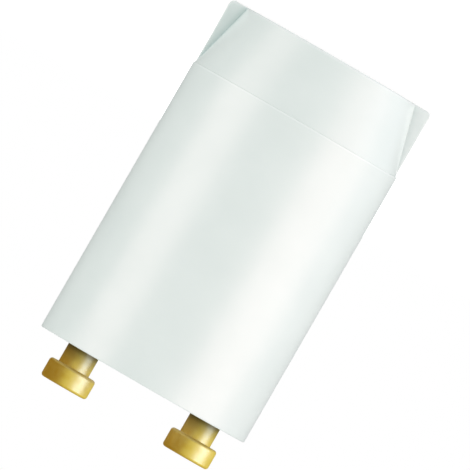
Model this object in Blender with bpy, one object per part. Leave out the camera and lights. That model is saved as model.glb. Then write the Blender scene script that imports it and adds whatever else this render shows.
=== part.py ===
"""Plug-in glow starter for a fluorescent tube.

The can stands on its closed grip end with the contact pins up. +Z points to the pins, X runs
through both pins, and the origin is the middle of the grip end's flat face. Left is the -X side.
Sizes are written in millimetres times MM, so the model is in metres.
"""

import math

import bmesh
import bpy
from mathutils import Vector

MM = 0.001

# Contact pins
PIN_SPACING = 12.7 * MM
PIN_PAIR_OFFSET = -0.25 * MM  # the pair sits this far along X from the can's axis
PIN_HEAD_DIAMETER = 4.7 * MM
PIN_HEAD_HEIGHT = 1.92 * MM
PIN_HEAD_EDGE = 0.3 * MM
PIN_STEM_DIAMETER = 3.1 * MM
PIN_STEM_LENGTH = 1.92 * MM  # from the can's rim to the head
PIN_SHANK_DIAMETER = 2.2 * MM  # where it passes through the base disc
PIN_COLLAR_DIAMETER = 3.4 * MM  # riveted over the disc's inner face
PIN_COLLAR_HEIGHT = 0.6 * MM
PIN_COLLAR_EDGE = 0.15 * MM
PIN_BARREL_LENGTH = 1.6 * MM  # holds the ends of two wires
PIN_BARREL_WALL = 0.45 * MM

# Can and its grip
PIN_AXIS_TO_SIDE = 4.25 * MM  # from half the pin spacing to the side of the can
CAN_LENGTH = 34.3 * MM
CAN_WALL = 1.0 * MM
CAN_END_WALL = 1.2 * MM
CAN_RIM_EDGE = 0.12 * MM
CAN_FLOOR_FILLET = 0.6 * MM
GRIP_HEIGHT = 6.6 * MM
GRIP_STEP = 0.1 * MM  # the taper starts this far inside the can's side
GRIP_STEP_EDGE = 0.08 * MM
GRIP_TAPER = math.radians(14.5)
GRIP_END_EDGE = 0.28 * MM
FIN_THICKNESS = 2.0 * MM
FIN_INSET = 0.14 * MM  # the fins stop this far inside the can's side

# Base disc and its seat in the can
DISC_THICKNESS = 1.6 * MM
DISC_RECESS = 0.5 * MM
DISC_EDGE = 0.2 * MM
SEAT_LEDGE = 0.4 * MM
SEAT_LIP = 0.2 * MM
SEAT_LIP_CHAMFER = 0.15 * MM

# Glow bulb
BULB_DIAMETER = 7.8 * MM
BULB_LENGTH = 17.0 * MM
GLASS_WALL = 0.6 * MM
BULB_NUB_DIAMETER = 1.4 * MM
BULB_NUB_LENGTH = 0.9 * MM
BULB_NUB_EDGE = 0.4 * MM
PINCH_LENGTH = 3.5 * MM
PINCH_BLEND = 3.0 * MM  # from the round tube to the flat pinch
PINCH_WIDTH = 6.4 * MM
PINCH_THICKNESS = 2.4 * MM
PINCH_SQUARENESS = 4.0

# Electrodes inside the bulb
LEAD_LAP = 1.5 * MM
STRIP_THICKNESS = 0.25 * MM
STRIP_WIDTH = 2.0 * MM
STRIP_TIP_GAP = 1.3 * MM  # from the strip's bend to the inside of the glass
STRIP_RETURN = 4.0 * MM
CONTACT_GAP = 0.5 * MM
ELECTRODE_DIAMETER = 0.9 * MM
ELECTRODE_ABOVE_BEND = 1.5 * MM

# Capacitor
CAPACITOR_WIDTH = 9.5 * MM
CAPACITOR_THICKNESS = 4.6 * MM
CAPACITOR_HEIGHT = 11.0 * MM
CAPACITOR_EDGE = 1.3 * MM
CAPACITOR_LEAD_PITCH = 5.0 * MM
CAPACITOR_LEAD_DEPTH = 1.2 * MM

# Wires
LEAD_DIAMETER = 0.5 * MM
LEAD_BEND_RADIUS = 0.9 * MM
LEAD_LIFT = 0.9 * MM  # straight wire on each side of the bends
LEAD_ROOM = 3.4 * MM  # from the pins' barrels to the bulb and the capacitor
LEAD_IN_BARREL = 1.3 * MM
BULB_LEAD_PITCH = 2.6 * MM

# Clearances
FIT_GAP = 0.1 * MM
INNER_GAP = 1.0 * MM  # between the bulb and the capacitor

# Facets
CAN_SEGMENTS = 72
PIN_SEGMENTS = 24
BULB_SEGMENTS = 24
BLEND_STEPS = 6
ARC_STEPS = 3
DOME_STEPS = 6
BEND_STEPS = 12
WIRE_SEGMENTS = 12  # round the electrode and the wires' holes
WIRE_ROUND_STEPS = 2  # more steps make a wire rounder
SHARP_ANGLE = math.radians(30)
MERGE_DISTANCE = 0.001 * MM
CUT_OVERRUN = 1.0 * MM

# Radii and levels that follow from the sizes above
PIN_AXIS = PIN_SPACING / 2
CAN_RADIUS = PIN_AXIS + PIN_AXIS_TO_SIDE
BORE_RADIUS = CAN_RADIUS - CAN_WALL
SEAT_RADIUS = BORE_RADIUS + SEAT_LEDGE
DISC_RADIUS = SEAT_RADIUS - FIT_GAP
DISC_TOP = CAN_LENGTH - DISC_RECESS
DISC_BOTTOM = DISC_TOP - DISC_THICKNESS
COLLAR_TOP = DISC_BOTTOM - FIT_GAP
COLLAR_BOTTOM = COLLAR_TOP - PIN_COLLAR_HEIGHT
BARREL_BOTTOM = COLLAR_BOTTOM - PIN_BARREL_LENGTH
LEAD_RADIUS = LEAD_DIAMETER / 2
LEAD_HOLE_RADIUS = LEAD_RADIUS + FIT_GAP
LEAD_OFFSET = LEAD_RADIUS + FIT_GAP / 2  # two wires side by side in one barrel
BARREL_BORE_RADIUS = LEAD_OFFSET + LEAD_RADIUS + FIT_GAP
BARREL_RADIUS = BARREL_BORE_RADIUS + PIN_BARREL_WALL
BARREL_BORE_TOP = BARREL_BOTTOM + LEAD_IN_BARREL + FIT_GAP

# The bulb and the capacitor stand side by side, centred in the can's bore
INNER_TOP = BARREL_BOTTOM - LEAD_ROOM
BULB_RADIUS = BULB_DIAMETER / 2
STACK_DEPTH = BULB_DIAMETER + INNER_GAP + CAPACITOR_THICKNESS
BULB_Y = BULB_RADIUS - STACK_DEPTH / 2
CAPACITOR_Y = STACK_DEPTH / 2 - CAPACITOR_THICKNESS / 2
BULB_TIP = INNER_TOP - BULB_LENGTH
DOME_BOTTOM = BULB_TIP + BULB_NUB_LENGTH
PINCH_BOTTOM = INNER_TOP - PINCH_LENGTH
TUBE_TOP = PINCH_BOTTOM - PINCH_BLEND
LEAD_INNER_END = TUBE_TOP - LEAD_LAP

# The strip and the electrode lie against the outer sides of their wires
STRIP_LEG_X = -(BULB_LEAD_PITCH / 2 + LEAD_RADIUS + FIT_GAP + STRIP_THICKNESS / 2)
ELECTRODE_RADIUS = ELECTRODE_DIAMETER / 2
ELECTRODE_X = BULB_LEAD_PITCH / 2 + LEAD_RADIUS + FIT_GAP + ELECTRODE_RADIUS
STRIP_FREE_X = ELECTRODE_X - ELECTRODE_RADIUS - CONTACT_GAP - STRIP_THICKNESS / 2
STRIP_BEND_RADIUS = (STRIP_FREE_X - STRIP_LEG_X) / 2
STRIP_BEND_X = (STRIP_FREE_X + STRIP_LEG_X) / 2
STRIP_BOTTOM = DOME_BOTTOM + GLASS_WALL + STRIP_TIP_GAP
STRIP_BEND_Z = STRIP_BOTTOM + STRIP_BEND_RADIUS + STRIP_THICKNESS / 2


def clear_scene():
    for obj in list(bpy.data.objects):
        bpy.data.objects.remove(obj, do_unlink=True)


def make_material(name, color, roughness, metallic=0.0, transmission=0.0):
    material = bpy.data.materials.new(name)
    material.use_nodes = True
    shader = material.node_tree.nodes["Principled BSDF"]
    shader.inputs["Base Color"].default_value = (*color, 1.0)
    shader.inputs["Roughness"].default_value = roughness
    shader.inputs["Metallic"].default_value = metallic
    shader.inputs["Transmission Weight"].default_value = transmission
    return material


def add_object(name, data, material, parent=None):
    obj = bpy.data.objects.new(name, data)
    bpy.context.scene.collection.objects.link(obj)
    obj.parent = parent
    if material:
        data.materials.append(material)
    return obj


def hide_helper(obj):
    obj.hide_render = True
    obj.display_type = "WIRE"
    return obj


def at(radius, height):
    """A point of a turned outline."""
    return Vector((radius, 0, height))


def rounded(corners, steps=ARC_STEPS):
    """The points of a line through these (point, radius) corners, with each corner turned into an arc."""
    points = [corners[0][0]]
    for (before, _), (corner, radius), (after, _) in zip(corners, corners[1:], corners[2:]):
        if radius == 0:
            points.append(corner)
            continue
        back = (before - corner).normalized()
        ahead = (after - corner).normalized()
        half_angle = back.angle(ahead) / 2
        reach = radius / math.tan(half_angle)
        centre = corner + (back + ahead).normalized() * (radius / math.sin(half_angle))
        first = (corner + back * reach - centre).normalized()
        last = (corner + ahead * reach - centre).normalized()
        points += [centre + first.slerp(last, step / steps) * radius for step in range(steps + 1)]
    return points + [corners[-1][0]]


def turned(name, outline, segments, material, parent=None):
    """A solid of revolution about Z. The outline starts and ends on the axis, and runs down the outer side."""
    mesh = bpy.data.meshes.new(name)
    mesh.from_pydata(outline, [(i, i + 1) for i in range(len(outline) - 1)], [])
    obj = add_object(name, mesh, material, parent)
    screw = obj.modifiers.new("Turn", "SCREW")
    screw.steps = segments
    screw.render_steps = segments
    screw.use_merge_vertices = True
    screw.merge_threshold = MERGE_DISTANCE
    screw.use_smooth_shade = True
    return obj


def combine(target, other, operation):
    boolean = target.modifiers.new(other.name, "BOOLEAN")
    boolean.operation = operation
    boolean.object = hide_helper(other)


def finished_mesh(name, shape):
    """The mesh of a bmesh, shaded smooth apart from its sharp edges."""
    mesh = bpy.data.meshes.new(name)
    shape.to_mesh(mesh)
    shape.free()
    mesh.shade_smooth()
    mesh.set_sharp_from_angle(angle=SHARP_ANGLE)
    return mesh


def rod(name, radius, bottom, top, segments, material=None, parent=None):
    """An upright cylinder."""
    shape = bmesh.new()
    bmesh.ops.create_cone(
        shape, cap_ends=True, segments=segments, radius1=radius, radius2=radius, depth=top - bottom
    )
    bmesh.ops.translate(shape, verts=shape.verts, vec=(0, 0, (top + bottom) / 2))
    return add_object(name, finished_mesh(name, shape), material, parent)


def lofted(name, rings, material=None, parent=None):
    """A closed skin over rings that have the same number of points, listed from the bottom up."""
    shape = bmesh.new()
    loops = [[shape.verts.new(point) for point in ring] for ring in rings]
    for lower, upper in zip(loops, loops[1:]):
        for i in range(len(lower)):
            shape.faces.new((lower[i - 1], lower[i], upper[i], upper[i - 1]))
    shape.faces.new(reversed(loops[0]))
    shape.faces.new(loops[-1])
    bmesh.ops.triangulate(shape, faces=shape.faces)
    return add_object(name, finished_mesh(name, shape), material, parent)


def prism(name, outline, thickness, rounded_edge=None, edge_radius=0.0, material=None, parent=None):
    """An outline in the XZ plane, extruded to both sides of it. The edges that rounded_edge picks get a radius."""
    shape = bmesh.new()
    front = shape.faces.new([shape.verts.new(point - Vector((0, thickness / 2, 0))) for point in outline])
    extruded = bmesh.ops.extrude_face_region(shape, geom=[front])["geom"]
    back = [item for item in extruded if isinstance(item, bmesh.types.BMVert)]
    bmesh.ops.translate(shape, verts=back, vec=(0, thickness, 0))
    bmesh.ops.recalc_face_normals(shape, faces=shape.faces)
    if rounded_edge:
        picked = [edge for edge in shape.edges if rounded_edge(*(vert.co for vert in edge.verts))]
        bmesh.ops.bevel(
            shape, geom=picked, offset=edge_radius, segments=ARC_STEPS, profile=0.5, affect="EDGES"
        )
    return add_object(name, finished_mesh(name, shape), material, parent)


def wire(name, corners, material, parent):
    """A round wire along a line with rounded corners."""
    points = rounded(corners)
    curve = bpy.data.curves.new(name, "CURVE")
    curve.dimensions = "3D"
    curve.bevel_depth = LEAD_RADIUS
    curve.bevel_resolution = WIRE_ROUND_STEPS
    curve.use_fill_caps = True
    spline = curve.splines.new("POLY")
    spline.points.add(len(points) - 1)
    for spline_point, point in zip(spline.points, points):
        spline_point.co = (*point, 1)
    return add_object(name, curve, material, parent)


def cone_radius(height):
    """The grip's outer radius at this height."""
    return CAN_RADIUS - GRIP_STEP - (GRIP_HEIGHT - height) * math.tan(GRIP_TAPER)


def inner_cone_radius(height):
    return cone_radius(height) - CAN_WALL / math.cos(GRIP_TAPER)


def make_can(material):
    knee = GRIP_HEIGHT + (BORE_RADIUS - inner_cone_radius(GRIP_HEIGHT)) / math.tan(GRIP_TAPER)
    lip_bottom = DISC_TOP + FIT_GAP
    outline = rounded([
        (at(0, CAN_END_WALL), 0),
        (at(inner_cone_radius(CAN_END_WALL), CAN_END_WALL), CAN_FLOOR_FILLET),
        (at(BORE_RADIUS, knee), 0),
        (at(BORE_RADIUS, DISC_BOTTOM - FIT_GAP), 0),
        (at(SEAT_RADIUS, DISC_BOTTOM - FIT_GAP), 0),
        (at(SEAT_RADIUS, lip_bottom), 0),
        (at(SEAT_RADIUS - SEAT_LIP, lip_bottom), 0),
        (at(SEAT_RADIUS - SEAT_LIP, CAN_LENGTH - SEAT_LIP_CHAMFER), 0),
        (at(SEAT_RADIUS - SEAT_LIP + SEAT_LIP_CHAMFER, CAN_LENGTH), 0),
        (at(CAN_RADIUS, CAN_LENGTH), CAN_RIM_EDGE),
        (at(CAN_RADIUS, GRIP_HEIGHT), GRIP_STEP_EDGE),
        (at(cone_radius(GRIP_HEIGHT), GRIP_HEIGHT), 0),
        (at(cone_radius(0), 0), GRIP_END_EDGE),
        (at(0, 0), 0),
    ])
    can = turned("housing_can", outline, CAN_SEGMENTS, material)
    for side in (-1, 1):
        combine(can, make_fin(side), "UNION")
    return can


def make_fin(side):
    """One grip fin, from the middle of the tapered wall out to just inside the can's side."""
    outer = CAN_RADIUS - FIN_INSET
    top = GRIP_HEIGHT + CAN_WALL / 2  # ends inside the can's wall
    outline = [
        Vector((side * (cone_radius(0) - CAN_WALL / 2), 0, 0)),
        Vector((side * outer, 0, 0)),
        Vector((side * outer, 0, top)),
        Vector((side * (cone_radius(GRIP_HEIGHT) - CAN_WALL / 2), 0, top)),
    ]

    def is_outer_edge(start, end):
        at_end_face = max(start.z, end.z) < CAN_END_WALL / 2 and start.x != end.x
        at_outer_face = min(abs(start.x), abs(end.x)) > outer - FIN_INSET and start.z != end.z
        corner = max(start.z, end.z) < CAN_END_WALL / 2 and abs(start.x) > outer - FIN_INSET
        return at_end_face or at_outer_face or corner

    return prism(f"fin_{side}", outline, FIN_THICKNESS, is_outer_edge, GRIP_END_EDGE)


def make_disc(material):
    outline = rounded([
        (at(0, DISC_TOP), 0),
        (at(DISC_RADIUS, DISC_TOP), DISC_EDGE),
        (at(DISC_RADIUS, DISC_BOTTOM), DISC_EDGE),
        (at(0, DISC_BOTTOM), 0),
    ])
    disc = turned("base_disc", outline, CAN_SEGMENTS, material)
    hole_radius = PIN_SHANK_DIAMETER / 2 + FIT_GAP
    for side in (-1, 1):
        hole = rod(
            f"pin_hole_{side}", hole_radius, DISC_BOTTOM - CUT_OVERRUN, DISC_TOP + CUT_OVERRUN, PIN_SEGMENTS
        )
        hole.location.x = PIN_PAIR_OFFSET + side * PIN_AXIS
        combine(disc, hole, "DIFFERENCE")
    return disc


def pin_outline():
    head_top = CAN_LENGTH + PIN_STEM_LENGTH + PIN_HEAD_HEIGHT
    head_bottom = CAN_LENGTH + PIN_STEM_LENGTH
    shoulder = DISC_TOP + FIT_GAP
    return rounded([
        (at(0, head_top), 0),
        (at(PIN_HEAD_DIAMETER / 2, head_top), PIN_HEAD_EDGE),
        (at(PIN_HEAD_DIAMETER / 2, head_bottom), PIN_HEAD_EDGE),
        (at(PIN_STEM_DIAMETER / 2, head_bottom), 0),
        (at(PIN_STEM_DIAMETER / 2, shoulder), 0),
        (at(PIN_SHANK_DIAMETER / 2, shoulder), 0),
        (at(PIN_SHANK_DIAMETER / 2, COLLAR_TOP), 0),
        (at(PIN_COLLAR_DIAMETER / 2, COLLAR_TOP), PIN_COLLAR_EDGE),
        (at(PIN_COLLAR_DIAMETER / 2, COLLAR_BOTTOM), PIN_COLLAR_EDGE),
        (at(BARREL_RADIUS, COLLAR_BOTTOM), 0),
        (at(BARREL_RADIUS, BARREL_BOTTOM), 0),
        (at(BARREL_BORE_RADIUS, BARREL_BOTTOM), 0),
        (at(BARREL_BORE_RADIUS, BARREL_BORE_TOP), 0),
        (at(0, BARREL_BORE_TOP), 0),
    ])


def blend(start, end, share):
    """From start to end, with a smooth start and finish."""
    return start + (end - start) * share * share * (3 - 2 * share)


def flattened_ring(height, half_width, half_depth, squareness):
    """A ring round Z, an ellipse at a squareness of 2 and nearer to a rectangle above it."""
    ring = []
    for step in range(BULB_SEGMENTS):
        turn = 2 * math.pi * step / BULB_SEGMENTS
        across = math.copysign(abs(math.cos(turn)) ** (2 / squareness), math.cos(turn))
        along = math.copysign(abs(math.sin(turn)) ** (2 / squareness), math.sin(turn))
        ring.append(Vector((half_width * across, half_depth * along, height)))
    return ring


def bulb_skin(name, round_outline, inset, top, material=None, parent=None):
    """The bulb's outer skin, or with an inset the skin of its hollow: a round tube that turns into the flat pinch."""
    radius = BULB_RADIUS - inset
    rings = [flattened_ring(point.z, point.x, point.x, 2) for point in round_outline]
    for step in range(1, BLEND_STEPS + 1):
        share = step / BLEND_STEPS
        rings.append(
            flattened_ring(
                TUBE_TOP + PINCH_BLEND * share,
                blend(radius, PINCH_WIDTH / 2 - inset, share),
                blend(radius, PINCH_THICKNESS / 2 - inset, share),
                blend(2, PINCH_SQUARENESS, share),
            )
        )
    if top > PINCH_BOTTOM:
        rings.append([Vector((point.x, point.y, top)) for point in rings[-1]])
    return lofted(name, rings, material, parent)


def make_bulb_glass(material, parent):
    nub_radius = BULB_NUB_DIAMETER / 2
    outer = rounded([
        (at(0, BULB_TIP), 0),
        (at(nub_radius, BULB_TIP), BULB_NUB_EDGE),
        (at(nub_radius, DOME_BOTTOM), 0),
        (at(BULB_RADIUS, DOME_BOTTOM), BULB_RADIUS - nub_radius - FIT_GAP),
        (at(BULB_RADIUS, TUBE_TOP), 0),
    ], DOME_STEPS)[1:]
    inner_radius = BULB_RADIUS - GLASS_WALL
    inner = rounded([
        (at(0, DOME_BOTTOM + GLASS_WALL), 0),
        (at(inner_radius, DOME_BOTTOM + GLASS_WALL), inner_radius - nub_radius),
        (at(inner_radius, TUBE_TOP), 0),
    ], DOME_STEPS)[1:]
    glass = bulb_skin("glow_bulb_glass", outer, 0, INNER_TOP, material, parent)
    glass.location.y = BULB_Y
    hollow = bulb_skin("bulb_hollow", inner, GLASS_WALL, PINCH_BOTTOM, parent=parent)
    hollow.location.y = BULB_Y
    combine(glass, hollow, "DIFFERENCE")
    for side in (-1, 1):
        hole = rod(
            f"bulb_lead_hole_{side}", LEAD_HOLE_RADIUS, PINCH_BOTTOM - CUT_OVERRUN / 2,
            INNER_TOP + CUT_OVERRUN, WIRE_SEGMENTS, parent=parent,
        )
        hole.location = (side * BULB_LEAD_PITCH / 2, BULB_Y, 0)
        combine(glass, hole, "DIFFERENCE")
    return glass


def make_bimetal_strip(material, parent):
    """A flat strip bent into a hook: down from its wire, round the bend, and back up beside the electrode."""
    middle = [Vector((STRIP_LEG_X, 0, TUBE_TOP))]
    for step in range(BEND_STEPS + 1):
        turn = math.pi * step / BEND_STEPS
        middle.append(
            Vector((
                STRIP_BEND_X - STRIP_BEND_RADIUS * math.cos(turn),
                0,
                STRIP_BEND_Z - STRIP_BEND_RADIUS * math.sin(turn),
            ))
        )
    middle.append(Vector((STRIP_FREE_X, 0, STRIP_BEND_Z + STRIP_RETURN)))
    outer_side = []
    inner_side = []
    for i, point in enumerate(middle):
        along = (middle[min(i + 1, len(middle) - 1)] - middle[max(i - 1, 0)]).normalized()
        across = Vector((along.z, 0, -along.x)) * (STRIP_THICKNESS / 2)
        outer_side.append(point + across)
        inner_side.append(point - across)
    strip = prism("bimetal_strip", outer_side + inner_side[::-1], STRIP_WIDTH, material=material, parent=parent)
    strip.location.y = BULB_Y
    return strip


def make_electrode(material, parent):
    electrode = rod(
        "fixed_electrode", ELECTRODE_RADIUS, STRIP_BEND_Z + ELECTRODE_ABOVE_BEND, TUBE_TOP,
        WIRE_SEGMENTS, material, parent,
    )
    electrode.location = (ELECTRODE_X, BULB_Y, 0)
    return electrode


def make_capacitor(material, parent):
    half_width = CAPACITOR_WIDTH / 2
    bottom = INNER_TOP - CAPACITOR_HEIGHT
    outline = [
        Vector((-half_width, 0, bottom)),
        Vector((half_width, 0, bottom)),
        Vector((half_width, 0, INNER_TOP)),
        Vector((-half_width, 0, INNER_TOP)),
    ]
    capacitor = prism(
        "capacitor_body", outline, CAPACITOR_THICKNESS, lambda start, end: True, CAPACITOR_EDGE, material, parent
    )
    capacitor.location.y = CAPACITOR_Y
    for side in (-1, 1):
        hole = rod(
            f"capacitor_lead_hole_{side}", LEAD_HOLE_RADIUS, INNER_TOP - CAPACITOR_LEAD_DEPTH - FIT_GAP,
            INNER_TOP + CUT_OVERRUN, WIRE_SEGMENTS, parent=parent,
        )
        hole.location = (side * CAPACITOR_LEAD_PITCH / 2, CAPACITOR_Y, 0)
        combine(capacitor, hole, "DIFFERENCE")
    return capacitor


def make_lead(name, side, start_x, start_y, start_z, barrel_y, material, parent):
    """A wire that goes up out of the bulb or the capacitor and across, then up into the pin's barrel on that side."""
    pin_x = side * PIN_AXIS
    return wire(name, [
        (Vector((start_x, start_y, start_z)), 0),
        (Vector((start_x, start_y, INNER_TOP + LEAD_LIFT)), LEAD_BEND_RADIUS),
        (Vector((pin_x, barrel_y, BARREL_BOTTOM - LEAD_LIFT)), LEAD_BEND_RADIUS),
        (Vector((pin_x, barrel_y, BARREL_BOTTOM + LEAD_IN_BARREL)), 0),
    ], material, parent)


def main():
    clear_scene()
    white_plastic = make_material("white_plastic", (0.86, 0.89, 0.87), 0.35)
    pale_plastic = make_material("pale_plastic", (0.62, 0.6, 0.55), 0.5)
    brass = make_material("brass", (0.75, 0.53, 0.2), 0.28, metallic=1.0)
    glass = make_material("glass", (0.95, 0.97, 0.97), 0.05, transmission=1.0)
    bimetal = make_material("bimetal", (0.5, 0.47, 0.42), 0.4, metallic=1.0)
    nickel = make_material("nickel", (0.62, 0.6, 0.56), 0.3, metallic=1.0)
    tinned_wire = make_material("tinned_wire", (0.7, 0.7, 0.7), 0.35, metallic=1.0)
    dipped_resin = make_material("dipped_resin", (0.42, 0.16, 0.05), 0.3)

    make_can(white_plastic)
    make_disc(pale_plastic)
    contact_group = bpy.data.objects.new("contact_group", None)
    bpy.context.scene.collection.objects.link(contact_group)
    contact_group.location.x = PIN_PAIR_OFFSET
    for side, side_name in ((-1, "left"), (1, "right")):
        pin = turned(f"contact_pin_{side_name}", pin_outline(), PIN_SEGMENTS, brass, contact_group)
        pin.location.x = side * PIN_AXIS
        make_lead(
            f"bulb_lead_{side_name}", side, side * BULB_LEAD_PITCH / 2, BULB_Y, LEAD_INNER_END,
            -LEAD_OFFSET, tinned_wire, contact_group,
        )
        make_lead(
            f"capacitor_lead_{side_name}", side, side * CAPACITOR_LEAD_PITCH / 2, CAPACITOR_Y,
            INNER_TOP - CAPACITOR_LEAD_DEPTH, LEAD_OFFSET, tinned_wire, contact_group,
        )
    make_bulb_glass(glass, contact_group)
    make_bimetal_strip(bimetal, contact_group)
    make_electrode(nickel, contact_group)
    make_capacitor(dipped_resin, contact_group)


main()
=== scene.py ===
"""Finished looks of a plug-in glow starter for a fluorescent tube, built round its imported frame.

The starter stands on its closed grip end with the contact pins up, as the frame has it: +Z points
to the pins, X runs through both pins, and left is the -X side. Lengths are in metres.
"""

import math
from typing import NamedTuple

import bmesh
import bpy
from mathutils import Matrix, Vector


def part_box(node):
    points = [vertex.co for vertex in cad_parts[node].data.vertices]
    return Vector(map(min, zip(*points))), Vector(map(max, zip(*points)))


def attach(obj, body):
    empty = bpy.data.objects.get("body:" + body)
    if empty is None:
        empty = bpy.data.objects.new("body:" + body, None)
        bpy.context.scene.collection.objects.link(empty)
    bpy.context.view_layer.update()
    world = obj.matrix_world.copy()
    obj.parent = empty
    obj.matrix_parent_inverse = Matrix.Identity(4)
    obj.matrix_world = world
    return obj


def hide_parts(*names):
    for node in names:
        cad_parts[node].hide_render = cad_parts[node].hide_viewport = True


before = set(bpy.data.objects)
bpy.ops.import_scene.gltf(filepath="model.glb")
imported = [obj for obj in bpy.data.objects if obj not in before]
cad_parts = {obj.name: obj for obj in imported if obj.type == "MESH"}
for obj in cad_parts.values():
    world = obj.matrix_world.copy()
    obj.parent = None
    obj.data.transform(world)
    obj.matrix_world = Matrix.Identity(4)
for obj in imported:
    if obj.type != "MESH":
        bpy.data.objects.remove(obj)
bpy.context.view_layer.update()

bl_info = {
    "name": "Glow starter looks",
    "version": (1, 0, 0),
    "blender": (4, 5, 0),
    "location": "3D View > Sidebar > Starter",
    "description": "Finished pieces, materials and studio of a plug-in glow starter",
    "category": "Object",
}

MM = 0.001
WHITE = (1, 1, 1)
BODY = "root"
SIDES = ("left", "right")

# Places and outer sizes that the frame gives
CAN_LOW, CAN_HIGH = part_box("housing_can")
DISC_LOW, DISC_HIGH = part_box("base_disc")
PIN_LOW, PIN_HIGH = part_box("contact_pin_left")
BULB_LOW, BULB_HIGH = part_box("glow_bulb_glass")
CAN_RADIUS = CAN_HIGH.x
CAN_LENGTH = CAN_HIGH.z
PIN_RADIUS = (PIN_HIGH.x - PIN_LOW.x) / 2

# Fineness of the finished meshes
CAN_SEGMENTS = 256
PIN_SEGMENTS = 96
BULB_SEGMENTS = 96
WIRE_SEGMENTS = 32
WIRE_BEVEL_STEPS = 6
ARC_STEPS = 8
DOME_STEPS = 16
BEND_STEPS = 32
BLEND_STEPS = 24
SHARP_ANGLE = math.radians(28)
MERGE_DISTANCE = 0.0005 * MM
CUT_OVERRUN = 1.0 * MM

# Lamps and floor
LAMP_WATTS = 4.0  # for each square metre of a softbox that is as bright as white
LAMP_DISTANCE = 0.8
SUN_SPREAD = 178  # degrees
FLOOR_DEPTH = 0.01 * MM
FLOOR_GLOW_START = 2 * CAN_LENGTH
FLOOR_GLOW_END = 10 * CAN_LENGTH

# What a lamp's linked pins are to it
PINS_ALONE = "INCLUDE"
ALL_BUT_PINS = "EXCLUDE"


class Softbox(NamedTuple):
    """Where a softbox stands, in degrees, its size in metres, and what it lights."""

    azimuth: float
    elevation: float
    width: float
    height: float
    lights: str = ALL_BUT_PINS


SOFTBOXES = {
    "key": Softbox(azimuth=64, elevation=0, width=0.86, height=1.0),
    "side": Softbox(azimuth=-63, elevation=0, width=0.66, height=1.0),
    "rim": Softbox(azimuth=108, elevation=-28, width=0.8, height=0.8),
    "back": Softbox(azimuth=180, elevation=50, width=0.6, height=0.6),
    "glint": Softbox(azimuth=63, elevation=0, width=0.75, height=0.8, lights=PINS_ALONE),
}
SUN_AZIMUTHS = {"bright": 68, "warm": -112}  # degrees, for the pins alone


def length(name, description, default):
    """A length that a user can change."""
    return bpy.props.FloatProperty(
        name=name, description=description, default=default, min=0, subtype="DISTANCE", unit="LENGTH"
    )


def angle(name, description, degrees):
    """An angle that a user can change, with its default in degrees."""
    return bpy.props.FloatProperty(
        name=name, description=description, default=math.radians(degrees), subtype="ANGLE", unit="ROTATION"
    )


def level(name, description, default):
    """A plain number, such as a roughness or a lamp's brightness."""
    return bpy.props.FloatProperty(name=name, description=description, default=default, min=0)


def colour(name, description, default):
    """A colour that a user can change."""
    return bpy.props.FloatVectorProperty(
        name=name, description=description, default=default, size=3, min=0, max=1, subtype="COLOR"
    )


class CanSettings(bpy.types.PropertyGroup):
    """Sizes of the can, its grip and the seat of its disc."""

    wall: length("Wall", "Thickness of the side wall", 1.0 * MM)
    end_wall: length("End wall", "Thickness of the closed grip end", 1.2 * MM)
    rim_edge: length("Rim edge", "Radius of the rim's outer edge", 0.12 * MM)
    floor_fillet: length("Floor fillet", "Radius inside the closed end", 0.6 * MM)
    grip_height: length("Grip height", "Height of the tapered grip", 6.6 * MM)
    grip_step: length("Grip step", "Depth of the step between body and grip", 0.1 * MM)
    grip_step_edge: length("Step edge", "Radius of the body's edge at the step", 0.08 * MM)
    grip_taper: angle("Grip taper", "Slope of the grip from the can's axis", 14.5)
    grip_end_edge: length("Grip end edge", "Radius round the flat grip end", 0.2 * MM)
    fin_edge: length("Fin edge", "Radius of the fins' outer edges", 0.15 * MM)
    fin_corner: length("Fin corner", "Radius of the fins' corners at the grip end", 0.5 * MM)
    fin_thickness: length("Fin thickness", "Thickness of each grip fin", 2.0 * MM)
    fin_inset: length("Fin inset", "How far the fins stop inside the can's side", 0.14 * MM)
    seat_lip: length("Seat lip", "Reach of the lip that holds the disc", 0.2 * MM)
    seat_lip_chamfer: length("Lip chamfer", "Lead-in of the lip", 0.15 * MM)
    fit_gap: length("Fit gap", "Clearance round the disc and the pins", 0.1 * MM)
    disc_edge: length("Disc edge", "Radius of the disc's edges", 0.2 * MM)


class PinSettings(bpy.types.PropertyGroup):
    """Sizes of the mushroom-headed contact pins."""

    head_height: length("Head height", "Height of the head", 1.92 * MM)
    head_edge: length("Head edge", "Radius of the head's two edges", 0.3 * MM)
    stem_diameter: length("Stem", "Diameter of the stem that the holder grips", 3.1 * MM)
    stem_fillet: length("Stem fillet", "Radius where the stem meets the head", 0.06 * MM)
    shank_diameter: length("Shank", "Diameter through the disc", 2.2 * MM)
    collar_diameter: length("Collar", "Diameter of the riveted collar", 3.4 * MM)
    collar_height: length("Collar height", "Height of the riveted collar", 0.6 * MM)
    collar_edge: length("Collar edge", "Radius of the collar's edges", 0.15 * MM)
    barrel_diameter: length("Barrel", "Outer diameter of the wire barrel", 2.1 * MM)
    barrel_bore: length("Barrel bore", "Diameter of the wire barrel's bore", 1.2 * MM)
    barrel_depth: length("Barrel depth", "Depth of the wire barrel's bore", 1.4 * MM)


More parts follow.
